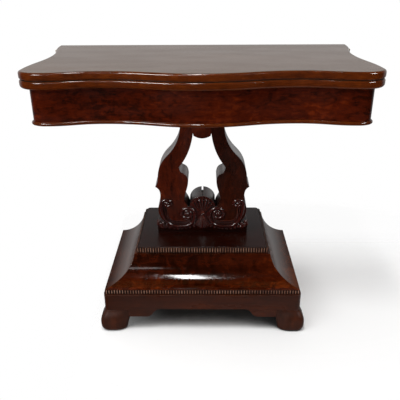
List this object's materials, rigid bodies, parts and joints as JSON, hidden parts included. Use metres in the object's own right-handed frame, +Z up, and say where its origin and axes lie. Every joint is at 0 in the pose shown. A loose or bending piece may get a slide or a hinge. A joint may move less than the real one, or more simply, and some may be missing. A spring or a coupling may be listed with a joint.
{
  "type": "fold over card table",
  "caption": "Fold over card table: a serpentine top that swivels and unfolds over a frieze with a card well, on a carved lyre and a coved plinth with bracket feet.",
  "frame": {"origin": "on the floor, in the middle of the closed table's overall width and depth", "axes": "+X to the right seen from the front, +Y from the front to the fold at the back, +Z up"},
  "size_m": [0.916, 0.5106, 0.737],
  "materials": {
    "mahogany": "polished red brown mahogany with a figured grain and a glossy finish",
    "carved_mahogany": "carved and polished dark mahogany",
    "pine": "unfinished secondary wood with a dull surface",
    "brass": "aged brass",
    "iron": "blackened iron"
  },
  "bodies": {
    "stand": {"front_rail": "mahogany", "left_rail": "mahogany", "right_rail": "mahogany", "back_rail": "mahogany", "front_bead": "mahogany", "left_bead": "mahogany", "right_bead": "mahogany", "centre_bearer": "pine", "left_well_board": "pine", "right_well_board": "pine", "pivot_rail": "pine", "back_left_frame_block": "pine", "back_right_frame_block": "pine", "front_left_frame_block": "pine", "front_right_frame_block": "pine", "right_lyre_support": "mahogany", "left_lyre_support": "mahogany", "lyre_base_block": "mahogany", "lyre_pendant": "mahogany", "shell_block": "carved_mahogany", "platform_ripple_front": "mahogany", "platform_ripple_left": "mahogany", "platform_ripple_right": "mahogany", "base_ripple_front": "mahogany", "base_ripple_left": "mahogany", "base_ripple_right": "mahogany", "cove_front": "mahogany", "cove_left": "mahogany", "cove_right": "mahogany", "base_board": "pine", "platform_board": "mahogany", "plinth_back": "pine", "skirt_front": "mahogany", "skirt_left": "mahogany", "skirt_right": "mahogany", "skirt_back": "pine", "front_left_foot": "mahogany", "front_right_foot": "mahogany", "back_left_foot": "mahogany", "back_right_foot": "mahogany", "front_left_plinth_block": "pine", "front_right_plinth_block": "pine", "back_left_plinth_block": "pine", "back_right_plinth_block": "pine"},
    "swivel_top": {"lower_leaf": "mahogany", "left_hinge_lower_plate": "brass", "right_hinge_lower_plate": "brass", "left_hinge_pin": "brass", "right_hinge_pin": "brass", "pivot_plate": "iron", "pivot_bolt": "iron", "pivot_washer": "iron", "pivot_nut": "iron", "swivel_stop": "pine"},
    "folding_leaf": {"upper_leaf": "mahogany", "left_hinge_upper_plate": "brass", "right_hinge_upper_plate": "brass"}
  },
  "joints": [
    {"name": "top_swivel", "type": "hinge", "parent": "stand", "child": "swivel_top", "pos_m": [0.121, 0.12975, 0.6945], "axis": [0, 0, 1], "range_deg": [0, 90]},
    {"name": "leaf_fold", "type": "hinge", "parent": "swivel_top", "child": "folding_leaf", "pos_m": [0, 0.25075, 0.71585], "axis": [-1, 0, 0], "range_deg": [0, 180]}
  ]
}
